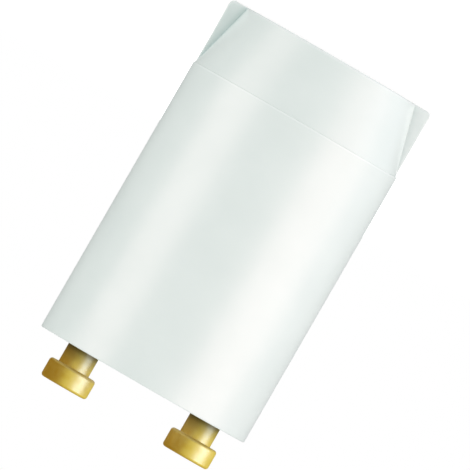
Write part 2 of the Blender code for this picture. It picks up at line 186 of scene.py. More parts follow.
class InnerSettings(bpy.types.PropertyGroup):
    """Sizes of the pieces inside the can."""

    glass_wall: length("Glass wall", "Thickness of the bulb's glass", 0.6 * MM)
    nub_diameter: length("Nub", "Diameter of the bulb's sealed tip", 1.4 * MM)
    nub_length: length("Nub length", "Length of the bulb's sealed tip", 0.9 * MM)
    nub_edge: length("Nub edge", "Radius of the sealed tip's end", 0.4 * MM)
    pinch_length: length("Pinch length", "Length of the flat pinch", 3.5 * MM)
    pinch_blend: length("Pinch blend", "Length from round tube to flat pinch", 3.0 * MM)
    pinch_width: length("Pinch width", "Width of the flat pinch", 6.4 * MM)
    pinch_thickness: length("Pinch thickness", "Thickness of the flat pinch", 2.4 * MM)
    pinch_squareness: level("Pinch squareness", "2 is an ellipse, more is squarer", 4.0)
    strip_thickness: length("Strip thickness", "Thickness of the bimetal strip", 0.25 * MM)
    strip_edge: length("Strip edge", "Rounding of the bimetal strip's edges", 0.04 * MM)
    strip_return: length("Strip return", "From the strip's bend to its free end", 4.0 * MM)
    electrode_edge: length("Electrode edge", "Rounding of the post's ends", 0.15 * MM)
    capacitor_edge: length("Capacitor edge", "Rounding of the dipped capacitor", 1.3 * MM)
    capacitor_hole: length("Wire hole", "Depth of each wire in the capacitor", 1.3 * MM)
    wire_diameter: length("Wire", "Diameter of the tinned wires", 0.5 * MM)
    wire_bend: length("Wire bend", "Radius of the wires' bends", 0.9 * MM)
    wire_lift: length("Wire lift", "Straight wire on each side of the bends", 0.9 * MM)
    wire_gap: length("Wire gap", "Clearance round the wires", 0.1 * MM)


class FinishSettings(bpy.types.PropertyGroup):
    """Colours of the finishes, at their middle value, and of the painted highlights and painted shade."""

    can: colour("Can", "Moulded white plastic", (0.82, 0.872, 0.848))
    can_shade: colour("Can shade", "The plastic's slightly deeper patches", (0.797, 0.852, 0.828))
    # Painted shade: the colour that the creases' shade is painted in
    can_crease_shade: colour("Can crease shade", "Painted shade deep in the plastic's creases", (0.45, 0.6, 0.58))
    # Painted highlight: the lighter colour along the body's edge at the parting line
    can_parting_highlight: colour("Can parting highlight", "Painted highlight on the edge at the parting line", (0.86, 0.905, 0.885))
    # Painted highlight: the lighter colour of the grip end's edge and of the -X fin's face
    can_painted_highlight: colour("Can painted highlight", "Painted highlight on the grip end's edge and the -X fin's face", (0.92, 0.95, 0.935))
    disc: colour("Disc", "Pressed insulating board", (0.62, 0.6, 0.55))
    disc_fibre: colour("Disc fibre", "Darker fibres of the board", (0.5, 0.47, 0.41))
    brass: colour("Brass", "Bright brass of the pins", (0.88, 0.68, 0.22))
    brass_warm: colour("Warm brass", "Warmer, tarnished patches of the pins", (0.84, 0.61, 0.15))
    # Painted shade: the colour that darkens the stems toward the can
    brass_shade: colour("Brass shade", "Painted shade on the stems, darkest where they enter the can", (0.13, 0.1, 0.04))
    glass: colour("Glass", "The bulb's clear glass", (0.95, 0.97, 0.97))
    bimetal: colour("Bimetal", "The strip's rolled metal", (0.5, 0.47, 0.42))
    bimetal_heat: colour("Heat tint", "Heat tint on the strip", (0.42, 0.34, 0.26))
    nickel: colour("Nickel", "The fixed electrode", (0.62, 0.6, 0.56))
    nickel_dull: colour("Dull nickel", "Duller patches of the electrode", (0.5, 0.49, 0.47))
    tin: colour("Tin", "The tinned wires", (0.72, 0.72, 0.71))
    tin_dull: colour("Dull tin", "Duller patches of the wires", (0.58, 0.58, 0.58))
    resin: colour("Resin", "The capacitor's dipped coat", (0.42, 0.16, 0.05))
    resin_thin: colour("Thin resin", "Where the dipped coat is thin", (0.5, 0.22, 0.08))


class StageSettings(bpy.types.PropertyGroup):
    """The camera, the lamps and the floor."""

    lens: level("Lens", "Focal length in millimetres", 1500.0)
    frame_width: length("Frame width", "Width that the picture covers at the starter", 42.58 * MM)
    camera_roll: angle("Camera roll", "Turn of the camera about its line of sight", 210)
    aim_x: bpy.props.FloatProperty(
        name="Aim X", description="Where the camera looks, left or right", default=-0.5 * MM, unit="LENGTH"
    )
    aim_z: length("Aim Z", "Height at which the camera looks", 18.39 * MM)
    key: level("Key", "Brightness of the tall softbox on the left side", 0.99)
    key_colour: colour("Key colour", "Colour of the key softbox", (1.0, 0.76, 0.755))
    side: level("Side", "Brightness of the tall softbox on the right side", 0.95)
    side_colour: colour("Side colour", "Colour of the side softbox", (1.0, 0.8, 0.79))
    rim: level("Rim", "Brightness of the softbox low behind the left side", 0.36)
    rim_colour: colour("Rim colour", "Colour of the rim softbox", (0.8, 0.88, 1.0))
    back: level("Back", "Brightness of the softbox behind the starter", 0.8)
    back_colour: colour("Back colour", "Colour of the back softbox", (1.0, 0.8, 0.78))
    glint: level("Glint", "Brightness of the softbox that the pins alone reflect", 2.8)
    glint_colour: colour("Glint colour", "Colour of the glint softbox", (0.22, 0.34, 1.0))
    bright: level("Bright", "Strength of the wide lamp on the pins' left", 1.8)
    bright_colour: colour("Bright colour", "Colour of the pins' bright lamp", (1.0, 0.97, 0.08))
    warm: level("Warm", "Strength of the wide lamp on the pins' right", 0.84)
    warm_colour: colour("Warm colour", "Colour of the pins' warm lamp", (1.0, 0.64, 0.0))
    fill: level("Fill", "Brightness of the surroundings", 0.82)
    fill_colour: colour("Fill colour", "Colour of the surroundings' light", (0.9, 1.0, 0.99))
    surround_bright: level("Bright surround", "What reflections show on the key's side, 1 for white", 0.3)
    surround_dark: level("Dark surround", "What reflections show on the far side", 0.05)
    surround_turn: angle("Surround turn", "Where the bright surround is, from the camera's side", 68)
    surround_focus: level("Surround focus", "1 fades evenly to the far side, and more fades sooner", 1.5)
    floor_size: length("Floor size", "Side of the square floor", 8.0)
    floor_glow: level("Floor glow", "Share of white that the floor gives near the starter", 0.27)
    floor: colour("Floor", "Pale floor", (0.85, 0.8, 0.81))


# Meshes

def at(radius, height):
    """A point in the XZ plane."""
    return Vector((radius, 0, height))


def rounded(corners, steps=ARC_STEPS):
    """The points of a line through these (point, radius) corners, with each corner turned into an arc."""
    points = [corners[0][0]]
    for (before, _), (corner, radius), (after, _) in zip(corners, corners[1:], corners[2:]):
        if radius == 0:
            points.append(corner)
            continue
        back = (before - corner).normalized()
        ahead = (after - corner).normalized()
        half_angle = back.angle(ahead) / 2
        reach = radius / math.tan(half_angle)
        centre = corner + (back + ahead).normalized() * (radius / math.sin(half_angle))
        first = (corner + back * reach - centre).normalized()
        last = (corner + ahead * reach - centre).normalized()
        points += [centre + first.slerp(last, step / steps) * radius for step in range(steps + 1)]
    return points + [corners[-1][0]]


def new_piece(name, data, material=None):
    """An object with this data, linked to the scene."""
    piece = bpy.data.objects.new(name, data)
    bpy.context.scene.collection.objects.link(piece)
    if material:
        data.materials.append(material)
    return piece


def mesh_of(name, shape):
    """A mesh from a bmesh, which is freed."""
    mesh = bpy.data.meshes.new(name)
    shape.to_mesh(mesh)
    shape.free()
    return mesh


def turned(name, outline, segments, material=None):
    """A solid of revolution about Z. The outline runs down its outer side."""
    mesh = bpy.data.meshes.new(name)
    mesh.from_pydata(outline, [(i, i + 1) for i in range(len(outline) - 1)], [])
    piece = new_piece(name, mesh, material)
    screw = piece.modifiers.new("Turn", "SCREW")
    screw.steps = segments
    screw.render_steps = segments
    screw.use_merge_vertices = True
    screw.merge_threshold = MERGE_DISTANCE
    return piece


def rod(name, radius, bottom, top, segments, material=None):
    """An upright cylinder."""
    shape = bmesh.new()
    bmesh.ops.create_cone(
        shape, cap_ends=True, segments=segments, radius1=radius, radius2=radius, depth=top - bottom
    )
    bmesh.ops.translate(shape, verts=shape.verts, vec=(0, 0, (top + bottom) / 2))
    return new_piece(name, mesh_of(name, shape), material)


def prism(name, outline, thickness, rounded_edge, edge_radius, material=None):
    """An outline in the XZ plane, extruded to both sides of it, with a radius on the edges chosen."""
    shape = bmesh.new()
    front = shape.faces.new([shape.verts.new(point - Vector((0, thickness / 2, 0))) for point in outline])
    extruded = bmesh.ops.extrude_face_region(shape, geom=[front])["geom"]
    back = [item for item in extruded if isinstance(item, bmesh.types.BMVert)]
    bmesh.ops.translate(shape, verts=back, vec=(0, thickness, 0))
    bmesh.ops.recalc_face_normals(shape, faces=shape.faces)
    chosen = [edge for edge in shape.edges if rounded_edge(*(vert.co for vert in edge.verts))]
    bmesh.ops.bevel(
        shape, geom=chosen, offset=edge_radius, segments=ARC_STEPS, profile=0.5, affect="EDGES"
    )
    return new_piece(name, mesh_of(name, shape), material)


def lofted(name, rings, material=None):
    """A closed skin over rings with the same number of points, listed from the bottom up."""
    shape = bmesh.new()
    loops = [[shape.verts.new(point) for point in ring] for ring in rings]
    for lower, upper in zip(loops, loops[1:]):
        for i in range(len(lower)):
            shape.faces.new((lower[i - 1], lower[i], upper[i], upper[i - 1]))
    shape.faces.new(reversed(loops[0]))
    shape.faces.new(loops[-1])
    return new_piece(name, mesh_of(name, shape), material)


def combine(piece, other, operation):
    """A Boolean with another piece, which goes away once the piece is finished."""
    boolean = piece.modifiers.new(other.name, "BOOLEAN")
    boolean.operation = operation
    boolean.object = other


def finished(piece):
    """Applies the modifiers, removes what they cut with and shades it smooth up to its sharp edges."""
    others = [modifier.object for modifier in piece.modifiers if modifier.type == "BOOLEAN"]
    graph = bpy.context.evaluated_depsgraph_get()
    mesh = bpy.data.meshes.new_from_object(piece.evaluated_get(graph))
    piece.modifiers.clear()
    piece.data = mesh
    for other in others:
        bpy.data.objects.remove(other)
    mesh.shade_smooth()
    mesh.set_sharp_from_angle(angle=SHARP_ANGLE)
    return piece


def put_in_place(piece, node):
    """The piece stands for its CAD node and moves with the starter's one body."""
    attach(piece, BODY)
    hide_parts(node)
    return piece


# Materials

GRAIN_LOW = 0.35  # nearly all values of the grain lie between these two
GRAIN_HIGH = 0.65

# Where the painted highlights and the painted crease shade lie on the can's plastic, as the starts and ends
# of smooth steps
# Painted highlight in a thin band over the parting line
PARTING_HIGHLIGHT_RISE = (0.02 * MM, 0.08 * MM)  # above the parting line
PARTING_HIGHLIGHT_FALL = (0.14 * MM, 0.22 * MM)  # above the parting line
GRIP_FALL = (-0.5 * MM, -0.2 * MM)  # above the parting line
# Painted highlight on the grip end's edge and on the face of the fin at -X
END_FALL = (0.0, 0.32 * MM)  # from the grip end
FIN_FALL = (0.1 * MM, 3.0 * MM)  # in from the can's side at -X
FLAT_RISE = (0.975, 0.995)  # how squarely the surface faces front or back, which the fins do
# The painted crease shade is stronger at +X than at -X
CREASE_TURN = (-1.0 * MM, 1.0 * MM)  # along X, from the creases at -X to those at +X


class Crease(NamedTuple):
    """How far the painted shade of a crease reaches, and how strong it is on cone and fins, at -X and at
    +X.
    """

    reach: float
    cone: tuple
    fins: tuple


CREASES = (
    Crease(reach=3.0 * MM, cone=(0.0, 1.6), fins=(0.1, 0.5)),
    Crease(reach=0.6 * MM, cone=(0.0, 1.5), fins=(0.5, 1.0)),
)


# The brass: heights over the can between which its two layers of painted shade clear and its polish comes
SHADE_CLEARS = ((0.0, 1.9 * MM), (0.1 * MM, 0.6 * MM))
SHADED = 0.3  # share of the unshaded brass that each layer of painted shade leaves
POLISH_RISE = (0.0, 1.2 * MM)
POLISH = 0.4  # weight of the clear coat


def add_node(tree, kind, inputs=None, **settings):
    """A shader node with its settings, and with its inputs set or linked."""
    made = tree.nodes.new(kind)
    for name, value in settings.items():
        setattr(made, name, value)
    for name, value in (inputs or {}).items():
        if isinstance(value, bpy.types.NodeSocket):
            tree.links.new(value, made.inputs[name])
        else:
            made.inputs[name].default_value = value
    return made


def worked_out(tree, operation, *values):
    """The result of an operation on sockets or numbers."""
    return add_node(tree, "ShaderNodeMath", dict(enumerate(values)), operation=operation).outputs[0]


def coordinate(tree, axis, kind="Object"):
    """The place on the piece along this axis, or its surface's normal."""
    vector = add_node(tree, "ShaderNodeTexCoord").outputs[kind]
    return add_node(tree, "ShaderNodeSeparateXYZ", {"Vector": vector}).outputs[axis]


def above(tree, line):
    """The height over this line."""
    return worked_out(tree, "SUBTRACT", coordinate(tree, "Z"), line)


def picked(tree, share, first, second):
    """The first number where the share is 0, and the second where it is 1."""
    return add_node(tree, "ShaderNodeMapRange", {
        "Value": share, "To Min": first, "To Max": second,
    }).outputs["Result"]


def smooth_step(tree, value, ends, first, second):
    """The first number up to one end, the second from the other, and a smooth change between."""
    return add_node(tree, "ShaderNodeMapRange", {
        "Value": value, "From Min": ends[0], "From Max": ends[1], "To Min": first, "To Max": second,
    }, interpolation_type="SMOOTHSTEP").outputs["Result"]


def mixed(tree, share, first, second):
    """The first colour where the share is 0, and the second where it is 1. Either can be a socket."""
    mix = add_node(tree, "ShaderNodeMix", data_type="RGBA")
    sockets = {socket.identifier: socket for socket in mix.inputs}
    for name, value in (("Factor_Float", share), ("A_Color", first), ("B_Color", second)):
        if isinstance(value, bpy.types.NodeSocket):
            tree.links.new(value, sockets[name])
        else:
            sockets[name].default_value = (*value, 1)
    return next(socket for socket in mix.outputs if socket.identifier == "Result_Color")


def openness(tree, reach):
    """1 on an open surface, and less in a crease, from what stands within this reach."""
    return add_node(
        tree, "ShaderNodeAmbientOcclusion", {"Distance": reach}, samples=8, only_local=True
    ).outputs["AO"]


def grain(tree, size, stretch=(1, 1, 1), detail=2.0):
    """Noise over the piece, with features of about this size."""
    place = add_node(tree, "ShaderNodeTexCoord").outputs["Object"]
    scaled = add_node(tree, "ShaderNodeMapping", {"Vector": place, "Scale": stretch})
    noise = add_node(tree, "ShaderNodeTexNoise", {
        "Vector": scaled.outputs["Vector"], "Scale": 1 / size, "Detail": detail,
    })
    return noise.outputs[0]


def patchy(first, second, start=GRAIN_LOW, end=GRAIN_HIGH, **grain_kind):
    """Makes a colour that is the first where the grain is below start, and the second above end."""

    def color(tree):
        ramp = add_node(tree, "ShaderNodeValToRGB", {"Fac": grain(tree, **grain_kind)})
        for element, position, shade in zip(ramp.color_ramp.elements, (start, end), (first, second)):
            element.position = position
            element.color = (*shade, 1)
        return ramp.outputs["Color"]

    return color


def rough(low, high, **grain_kind):
    """Makes a roughness that runs from low to high with the grain."""
    return lambda tree: add_node(tree, "ShaderNodeMapRange", {
        "Value": grain(tree, **grain_kind), "From Min": GRAIN_LOW, "From Max": GRAIN_HIGH,
        "To Min": low, "To Max": high,
    }).outputs["Result"]


def bumpy(depth, under=None, **grain_kind):
    """Makes a normal from grain of this depth, over another such layer."""

    def normal(tree):
        inputs = {"Height": grain(tree, **grain_kind), "Distance": depth}
        if under:
            inputs["Normal"] = under(tree)
        return add_node(tree, "ShaderNodeBump", inputs).outputs["Normal"]

    return normal


def surface(name, color, roughness, normal, **others):
    """A material from functions of its node tree. Another input is such a function or a number."""
    material = bpy.data.materials.new(name)
    material.use_nodes = True
    tree = material.node_tree
    shader = tree.nodes["Principled BSDF"]
    tree.links.new(color(tree), shader.inputs["Base Color"])
    tree.links.new(roughness(tree), shader.inputs["Roughness"])
    tree.links.new(normal(tree), shader.inputs["Normal"])
    for key, value in others.items():
        socket = shader.inputs[key.replace("_", " ")]
        if callable(value):
            tree.links.new(value(tree), socket)
        else:
            socket.default_value = value
    return material


def can_plastic(colours, parting_line):
    """Moulded white plastic: satin grain and faint flow patches, with painted highlights on its edges and
    on the -X fin, and painted shade in its creases.
    """

    def color(tree):
        over_line = above(tree, parting_line)
        # Painted highlight: a thin lighter band just over the parting line
        rise = smooth_step(tree, over_line, PARTING_HIGHLIGHT_RISE, 0.0, 1.0)
        fall = smooth_step(tree, over_line, PARTING_HIGHLIGHT_FALL, 1.0, 0.0)
        shade = patchy(colours.can, colours.can_shade, size=5.0 * MM)(tree)
        shade = mixed(tree, worked_out(tree, "MULTIPLY", rise, fall), shade, colours.can_parting_highlight)

        in_grip = smooth_step(tree, over_line, GRIP_FALL, 1.0, 0.0)
        squareness = worked_out(tree, "ABSOLUTE", coordinate(tree, "Y", "Normal"))
        on_fin = smooth_step(tree, squareness, FLAT_RISE, 0.0, 1.0)
        # Painted highlight on the grip end's edge and on the face of the fin at -X
        at_end = smooth_step(tree, coordinate(tree, "Z"), END_FALL, 1.0, 0.0)
        from_side = worked_out(tree, "ADD", coordinate(tree, "X"), CAN_RADIUS)
        at_side = smooth_step(tree, from_side, FIN_FALL, 1.0, 0.0)
        side_fin = worked_out(tree, "MULTIPLY", worked_out(tree, "MULTIPLY", at_side, on_fin), in_grip)
        shade = mixed(tree, worked_out(tree, "MAXIMUM", at_end, side_fin), shade, colours.can_painted_highlight)

        # Painted shade in the creases beside the fins, by how closed in the surface is, stronger at +X
        for crease in CREASES:
            on_cone = smooth_step(tree, coordinate(tree, "X"), CREASE_TURN, *crease.cone)
            on_fins = smooth_step(tree, coordinate(tree, "X"), CREASE_TURN, *crease.fins)
            strength = worked_out(tree, "MULTIPLY", in_grip, picked(tree, on_fin, on_cone, on_fins))
            closed = picked(tree, openness(tree, crease.reach), strength, 0.0)
            shade = mixed(tree, closed, shade, colours.can_crease_shade)
        return shade

    return surface(
        "can_plastic",
        color,
        rough(0.33, 0.41, size=0.5 * MM),
        bumpy(0.0015 * MM, size=0.09 * MM, under=bumpy(0.01 * MM, size=3.0 * MM)),
        IOR=1.75,
        Specular_IOR_Level=1.0,
    )


def disc_board(colours):
    """Pressed insulating board with short fibres."""
    return surface(
        "disc_board",
        patchy(
            colours.disc, colours.disc_fibre, start=0.45, end=0.75,
            size=0.35 * MM, stretch=(1, 0.3, 1), detail=5,
        ),
        rough(0.55, 0.7, size=0.2 * MM),
        bumpy(0.006 * MM, size=0.12 * MM, stretch=(1, 0.4, 1), detail=4),
    )


def pin_brass(colours):
    """Turned brass: fine rings round the pin, warmer patches, and painted shade that darkens the stems
    toward the can.
    """

    def color(tree):
        shade = patchy(colours.brass, colours.brass_warm, size=0.7 * MM, detail=4)(tree)
        over_can = above(tree, CAN_LENGTH)
        # Painted shade: the stems darken toward the can
        for heights in SHADE_CLEARS:
            unshaded = smooth_step(tree, over_can, heights, SHADED, 1.0)
            shade = mixed(tree, unshaded, colours.brass_shade, shade)
        return shade

    return surface(
        "pin_brass",
        color,
        rough(0.46, 0.52, size=0.12 * MM, stretch=(0.02, 0.02, 1)),
        bumpy(0.0008 * MM, size=0.06 * MM, stretch=(0.01, 0.01, 1), under=bumpy(0.004 * MM, size=0.8 * MM)),
        Metallic=1.0,
        Coat_Weight=lambda tree: smooth_step(tree, above(tree, CAN_LENGTH), POLISH_RISE, 0.0, POLISH),
        Coat_IOR=1.8,
        Coat_Roughness=0.3,
    )


def bulb_glass(colours):
    """Clear blown glass, a little wavy."""
    return surface(
        "bulb_glass",
        patchy(colours.glass, WHITE, size=4.0 * MM),
        rough(0.01, 0.04, size=1.0 * MM),
        bumpy(0.01 * MM, size=2.0 * MM),
        IOR=1.5,
        Transmission_Weight=1.0,
    )


def drawn_metal(name, color, dull, patch, line, low, high):
    """Rolled or drawn metal: dull patches, and lines along Z as close together as line."""
    return surface(
        name,
        patchy(color, dull, size=patch, stretch=(1, 1, 0.4), detail=3),
        rough(low, high, size=line, stretch=(1, 1, 0.05)),
        bumpy(0.002 * MM, size=line, stretch=(1, 1, 0.05)),
        Metallic=1.0,
    )


def dipped_resin(colours):
    """A glossy dipped coat, thicker in places, with a faint orange-peel surface."""
    return surface(
        "dipped_resin",
        patchy(colours.resin, colours.resin_thin, size=2.2 * MM, detail=3),
        rough(0.18, 0.28, size=0.6 * MM),
        bumpy(0.012 * MM, size=0.5 * MM, under=bumpy(0.06 * MM, size=2.5 * MM)),
        Coat_Weight=0.4,
    )


# Pieces

def grip_radius(sizes, height):
    """The tapered grip's outer radius at this height."""
    return CAN_RADIUS - sizes.grip_step - (sizes.grip_height - height) * math.tan(sizes.grip_taper)


def make_can(sizes, material):
    """The white can, moulded in one piece with its grip, its fins and its closed end."""
    bore = CAN_RADIUS - sizes.wall
    slant_wall = sizes.wall / math.cos(sizes.grip_taper)
    inner_start = grip_radius(sizes, sizes.end_wall) - slant_wall
    inner_step = grip_radius(sizes, sizes.grip_height) - slant_wall
    knee = sizes.grip_height + (bore - inner_step) / math.tan(sizes.grip_taper)
    seat = DISC_HIGH.x + sizes.fit_gap
    seat_bottom = DISC_LOW.z - sizes.fit_gap
    lip = seat - sizes.seat_lip
    lip_bottom = DISC_HIGH.z + sizes.fit_gap
    outline = rounded([
        (at(0, sizes.end_wall), 0),
        (at(inner_start, sizes.end_wall), sizes.floor_fillet),
        (at(bore, knee), 0),
        (at(bore, seat_bottom), 0),
        (at(seat, seat_bottom), 0),
        (at(seat, lip_bottom), 0),
        (at(lip, lip_bottom), 0),
        (at(lip, CAN_LENGTH - sizes.seat_lip_chamfer), 0),
        (at(lip + sizes.seat_lip_chamfer, CAN_LENGTH), 0),
        (at(CAN_RADIUS, CAN_LENGTH), sizes.rim_edge),
        (at(CAN_RADIUS, sizes.grip_height), sizes.grip_step_edge),
        (at(grip_radius(sizes, sizes.grip_height), sizes.grip_height), 0),
        (at(grip_radius(sizes, 0), 0), sizes.grip_end_edge),
        (at(0, 0), 0),
    ])
    can = turned("can_shell", outline, CAN_SEGMENTS, material)
    for side in (-1, 1):
        combine(can, make_fin(sizes, side), "UNION")
    return put_in_place(finished(can), "housing_can")


def make_fin(sizes, side):
    """One grip fin, from inside the tapered wall out to just inside the can's side."""
    outer = CAN_RADIUS - sizes.fin_inset
    top = sizes.grip_height + sizes.wall / 2
    outline = rounded([
        (at(side * (grip_radius(sizes, 0) - sizes.wall / 2), 0), 0),
        (at(side * outer, 0), sizes.fin_corner),
        (at(side * outer, top), 0),
        (at(side * (grip_radius(sizes, sizes.grip_height) - sizes.wall / 2), top), 0),
    ])

    def shows(start, end):
        low = max(start.z, end.z) < sizes.end_wall / 2
        outside = min(abs(start.x), abs(end.x)) > outer - sizes.fin_inset
        return start.y == end.y and (low or outside)

    return prism(f"fin_{side}", outline, sizes.fin_thickness, shows, sizes.fin_edge)


def make_disc(sizes, shank_diameter, material):
    """The insulating disc with its two pin holes."""
    outline = rounded([
        (at(0, DISC_HIGH.z), 0),
        (at(DISC_HIGH.x, DISC_HIGH.z), sizes.disc_edge),
        (at(DISC_HIGH.x, DISC_LOW.z), sizes.disc_edge),
        (at(0, DISC_LOW.z), 0),
    ])
    disc = turned("insulating_disc", outline, CAN_SEGMENTS, material)
    for side in SIDES:
        low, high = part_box(f"contact_pin_{side}")
        hole = rod(
            f"pin_hole_{side}", shank_diameter / 2 + sizes.fit_gap, DISC_LOW.z - CUT_OVERRUN,
            DISC_HIGH.z + CUT_OVERRUN, PIN_SEGMENTS,
        )
        hole.location.x = (low.x + high.x) / 2
        combine(disc, hole, "DIFFERENCE")
    return put_in_place(finished(disc), "base_disc")


def make_pin(side, sizes, fit_gap, material):
    """A turned contact pin: head, stem, shank through the disc, riveted collar and wire barrel."""
    low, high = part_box(f"contact_pin_{side}")
    head_bottom = high.z - sizes.head_height
    stem = sizes.stem_diameter / 2
    shoulder = DISC_HIGH.z + fit_gap
    shank = sizes.shank_diameter / 2
    collar_top = DISC_LOW.z - fit_gap
    collar_bottom = collar_top - sizes.collar_height
    collar = sizes.collar_diameter / 2
    barrel = sizes.barrel_diameter / 2
    bore = sizes.barrel_bore / 2
    outline = rounded([
        (at(0, high.z), 0),
        (at(PIN_RADIUS, high.z), sizes.head_edge),
        (at(PIN_RADIUS, head_bottom), sizes.head_edge),
        (at(stem, head_bottom), sizes.stem_fillet),
        (at(stem, shoulder), 0),
        (at(shank, shoulder), 0),
        (at(shank, collar_top), 0),
        (at(collar, collar_top), sizes.collar_edge),
        (at(collar, collar_bottom), sizes.collar_edge),
        (at(barrel, collar_bottom), 0),
        (at(barrel, low.z), 0),
        (at(bore, low.z), 0),
        (at(bore, low.z + sizes.barrel_depth), 0),
        (at(0, low.z + sizes.barrel_depth), 0),
    ])
    pin = turned(f"brass_pin_{side}", outline, PIN_SEGMENTS, material)
    pin.location.x = (low.x + high.x) / 2
    return put_in_place(finished(pin), f"contact_pin_{side}")


def blend(start, end, share):
    """From start to end, with a smooth start and finish."""
    return start + (end - start) * share * share * (3 - 2 * share)


def flattened_ring(height, half_width, half_depth, squareness):
    """A ring round Z, an ellipse at a squareness of 2 and nearer to a rectangle above it."""
    ring = []
    for step in range(BULB_SEGMENTS):
        turn = 2 * math.pi * step / BULB_SEGMENTS
        across = math.copysign(abs(math.cos(turn)) ** (2 / squareness), math.cos(turn))
        along = math.copysign(abs(math.sin(turn)) ** (2 / squareness), math.sin(turn))
        ring.append(Vector((half_width * across, half_depth * along, height)))
    return ring


def bulb_skin(name, sizes, round_outline, radius, inset, top, material=None):
    """The bulb's outer skin, or with an inset its hollow: a round tube that turns into the flat pinch."""
    pinch_bottom = BULB_HIGH.z - sizes.pinch_length
    tube_top = pinch_bottom - sizes.pinch_blend
    rings = [flattened_ring(point.z, point.x, point.x, 2) for point in round_outline]
    for step in range(1, BLEND_STEPS + 1):
        share = step / BLEND_STEPS
        rings.append(flattened_ring(
            tube_top + sizes.pinch_blend * share,
            blend(radius - inset, sizes.pinch_width / 2 - inset, share),
            blend(radius - inset, sizes.pinch_thickness / 2 - inset, share),
            blend(2, sizes.pinch_squareness, share),
        ))
    if top > pinch_bottom:
        rings.append([Vector((point.x, point.y, top)) for point in rings[-1]])
    return lofted(name, rings, material)


def make_bulb(sizes, material):
    """The glow bulb's glass: a domed tube with a sealed tip, pinched flat round its two wires."""
    centre = (BULB_LOW + BULB_HIGH) / 2
    radius = (BULB_HIGH.x - BULB_LOW.x) / 2
    tube_top = BULB_HIGH.z - sizes.pinch_length - sizes.pinch_blend
    nub = sizes.nub_diameter / 2
    dome_bottom = BULB_LOW.z + sizes.nub_length
    outer = rounded([
        (at(0, BULB_LOW.z), 0),
        (at(nub, BULB_LOW.z), sizes.nub_edge),
        (at(nub, dome_bottom), 0),
        (at(radius, dome_bottom), radius - nub - sizes.wire_gap),
        (at(radius, tube_top), 0),
    ], DOME_STEPS)[1:]
    inner_radius = radius - sizes.glass_wall
    inner = rounded([
        (at(0, dome_bottom + sizes.glass_wall), 0),
        (at(inner_radius, dome_bottom + sizes.glass_wall), inner_radius - nub),
        (at(inner_radius, tube_top), 0),
    ], DOME_STEPS)[1:]
    glass = bulb_skin("blown_glass", sizes, outer, radius, 0, BULB_HIGH.z, material)
    pinch_bottom = BULB_HIGH.z - sizes.pinch_length
    hollow = bulb_skin("bulb_hollow", sizes, inner, radius, sizes.glass_wall, pinch_bottom)
    glass.location = (centre.x, centre.y, 0)
    hollow.location = glass.location
    combine(glass, hollow, "DIFFERENCE")
    for side in SIDES:
        drill_for_wire(glass, "bulb", side, sizes, pinch_bottom - CUT_OVERRUN / 2, BULB_HIGH.z)
    return put_in_place(finished(glass), "glow_bulb_glass")


def make_strip(sizes, material):
    """The bimetal strip: down from its wire, round the bend, and back up beside the electrode."""
    low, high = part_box("bimetal_strip")
    half = sizes.strip_thickness / 2
    leg_x = low.x + half
    free_x = high.x - half
    radius = (free_x - leg_x) / 2
    bend_z = low.z + radius + half
    middle = [at(leg_x, high.z)]
    for step in range(BEND_STEPS + 1):
        turn = math.pi * step / BEND_STEPS
        middle.append(at(leg_x + radius - radius * math.cos(turn), bend_z - radius * math.sin(turn)))
    middle.append(at(free_x, bend_z + sizes.strip_return))
    outer_side = []
    inner_side = []
    for i, point in enumerate(middle):
        along = (middle[min(i + 1, len(middle) - 1)] - middle[max(i - 1, 0)]).normalized()
        across = Vector((along.z, 0, -along.x)) * half
        outer_side.append(point + across)
        inner_side.append(point - across)

    def long_edge(start, end):
        return start.y == end.y

    strip = prism(
        "bimetal_hook", outer_side + inner_side[::-1], high.y - low.y, long_edge, sizes.strip_edge, material
    )
    strip.location.y = (low.y + high.y) / 2
    return put_in_place(finished(strip), "bimetal_strip")


def make_electrode(sizes, material):
    """The straight post that the strip touches when it is hot."""
    low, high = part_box("fixed_electrode")
    radius = (high.x - low.x) / 2
    outline = rounded([
        (at(0, high.z), 0),
        (at(radius, high.z), sizes.electrode_edge),
        (at(radius, low.z), sizes.electrode_edge),
        (at(0, low.z), 0),
    ])
    post = turned("electrode_post", outline, WIRE_SEGMENTS, material)
    post.location = ((low.x + high.x) / 2, (low.y + high.y) / 2, 0)
    return put_in_place(finished(post), "fixed_electrode")


def make_capacitor(sizes, material):
    """The dipped capacitor, one sealed lump with its two wire holes."""
    low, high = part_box("capacitor_body")
    outline = [at(low.x, low.z), at(high.x, low.z), at(high.x, high.z), at(low.x, high.z)]
    dip = prism(
        "dipped_capacitor", outline, high.y - low.y, lambda start, end: True, sizes.capacitor_edge, material
    )
    dip.location.y = (low.y + high.y) / 2
    for side in SIDES:
        drill_for_wire(dip, "capacitor", side, sizes, high.z - sizes.capacitor_hole, high.z)
    return put_in_place(finished(dip), "capacitor_body")


def wire_ends(node, side, diameter):
    """A wire's inner end, its end in the pin's barrel, and its radius, from its CAD solid's box."""
    low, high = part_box(node)
    radius = diameter / 2
    inner_x = low.x + radius
    pin_x = high.x - radius
    if side == "left":
        inner_x, pin_x = pin_x, inner_x
    inner_y = high.y - radius
    pin_y = low.y + radius
    if abs(low.y) > abs(high.y):
        inner_y, pin_y = pin_y, inner_y
    return Vector((inner_x, inner_y, low.z)), Vector((pin_x, pin_y, high.z)), radius


def drill_for_wire(piece, part, side, sizes, bottom, top):
    """A hole in the bulb or the capacitor for its wire on this side, open at the top."""
    start, _, radius = wire_ends(f"{part}_lead_{side}", side, sizes.wire_diameter)
    hole = rod(f"{part}_hole_{side}", radius + sizes.wire_gap, bottom, top + CUT_OVERRUN, WIRE_SEGMENTS)
    hole.location = (start.x, start.y, 0)
    combine(piece, hole, "DIFFERENCE")


